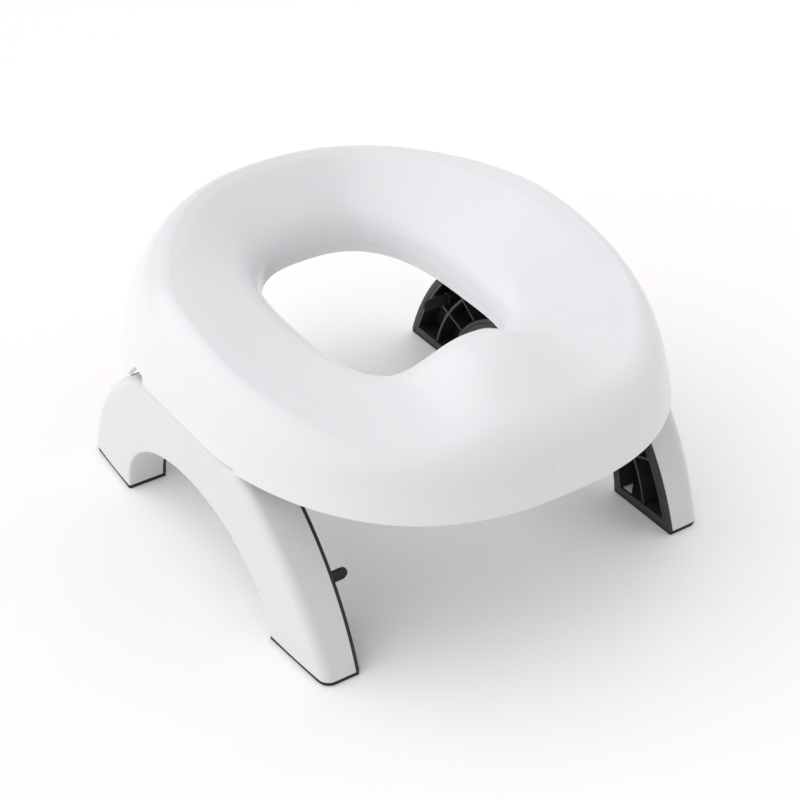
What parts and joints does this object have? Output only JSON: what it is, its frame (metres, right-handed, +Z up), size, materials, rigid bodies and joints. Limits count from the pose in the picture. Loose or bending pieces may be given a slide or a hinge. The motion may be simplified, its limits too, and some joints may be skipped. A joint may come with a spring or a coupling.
{
  "type": "potty training chair",
  "caption": "Folding travel potty seat: a moulded ring with a splash guard on hinged side legs that fold under it or swing out as side wings.",
  "frame": {"origin": "centre of the overall box on the floor, legs upright", "axes": "+X to the viewer's right across the seat, -Y to the front where the splash guard stands, +Z up"},
  "size_m": [0.2588, 0.297, 0.1467],
  "materials": {
    "white_plastic": "smooth satin moulding",
    "grey_plastic": "fine moulded grain",
    "black_plastic": "fine moulded grain",
    "rubber": "matt",
    "steel": "bright zinc plated"
  },
  "bodies": {
    "seat": {"seat_shell": "white_plastic", "left_hinge_bracket": "white_plastic", "left_hinge_pin": "steel", "left_latch_spring": "steel", "left_bracket_screw_front": "steel", "left_bracket_screw_rear": "steel", "right_hinge_bracket": "white_plastic", "right_hinge_pin": "steel", "right_latch_spring": "steel", "right_bracket_screw_front": "steel", "right_bracket_screw_rear": "steel"},
    "left_leg": {"left_leg_shell": "grey_plastic", "left_leg_liner": "black_plastic", "left_foot_pad_front": "rubber", "left_foot_pad_rear": "rubber", "left_liner_screw_front_low": "steel", "left_liner_screw_front_high": "steel", "left_liner_screw_rear_low": "steel", "left_liner_screw_rear_high": "steel"},
    "left_latch": {"left_latch_button": "black_plastic"},
    "left_bag_tab_front": {"left_bag_tab_front": "rubber"},
    "left_bag_tab_rear": {"left_bag_tab_rear": "rubber"},
    "right_leg": {"right_leg_shell": "grey_plastic", "right_leg_liner": "black_plastic", "right_foot_pad_front": "rubber", "right_foot_pad_rear": "rubber", "right_liner_screw_front_low": "steel", "right_liner_screw_front_high": "steel", "right_liner_screw_rear_low": "steel", "right_liner_screw_rear_high": "steel"},
    "right_latch": {"right_latch_button": "black_plastic"},
    "right_bag_tab_front": {"right_bag_tab_front": "rubber"},
    "right_bag_tab_rear": {"right_bag_tab_rear": "rubber"}
  },
  "joints": [
    {"name": "left_leg_fold", "type": "hinge", "parent": "seat", "child": "left_leg", "pos_m": [-0.1175, 0.007, 0.082], "axis": [0, -1, 0], "range_deg": [-90, 90]},
    {"name": "left_latch_press", "type": "slide", "parent": "seat", "child": "left_latch", "axis": [0, 0, 1], "range_m": [0, 0.005], "stiffness_N_per_m": 800, "springref_m": -0.004, "deforming": ["left_latch_spring"]},
    {"name": "left_bag_tab_front_bend", "type": "hinge", "parent": "left_leg", "child": "left_bag_tab_front", "pos_m": [-0.101, -0.0845, 0.038], "axis": [0, 0, 1], "range_deg": [-15, 15], "stiffness_Nm_per_rad": 0.05},
    {"name": "left_bag_tab_rear_bend", "type": "hinge", "parent": "left_leg", "child": "left_bag_tab_rear", "pos_m": [-0.101, 0.0985, 0.038], "axis": [0, 0, 1], "range_deg": [-15, 15], "stiffness_Nm_per_rad": 0.05},
    {"name": "right_leg_fold", "type": "hinge", "parent": "seat", "child": "right_leg", "pos_m": [0.1175, 0.007, 0.082], "axis": [0, 1, 0], "range_deg": [-90, 90]},
    {"name": "right_latch_press", "type": "slide", "parent": "seat", "child": "right_latch", "axis": [0, 0, 1], "range_m": [0, 0.005], "stiffness_N_per_m": 800, "springref_m": -0.004, "deforming": ["right_latch_spring"]},
    {"name": "right_bag_tab_front_bend", "type": "hinge", "parent": "right_leg", "child": "right_bag_tab_front", "pos_m": [0.101, -0.0845, 0.038], "axis": [0, 0, 1], "range_deg": [-15, 15], "stiffness_Nm_per_rad": 0.05},
    {"name": "right_bag_tab_rear_bend", "type": "hinge", "parent": "right_leg", "child": "right_bag_tab_rear", "pos_m": [0.101, 0.0985, 0.038], "axis": [0, 0, 1], "range_deg": [-15, 15], "stiffness_Nm_per_rad": 0.05}
  ]
}
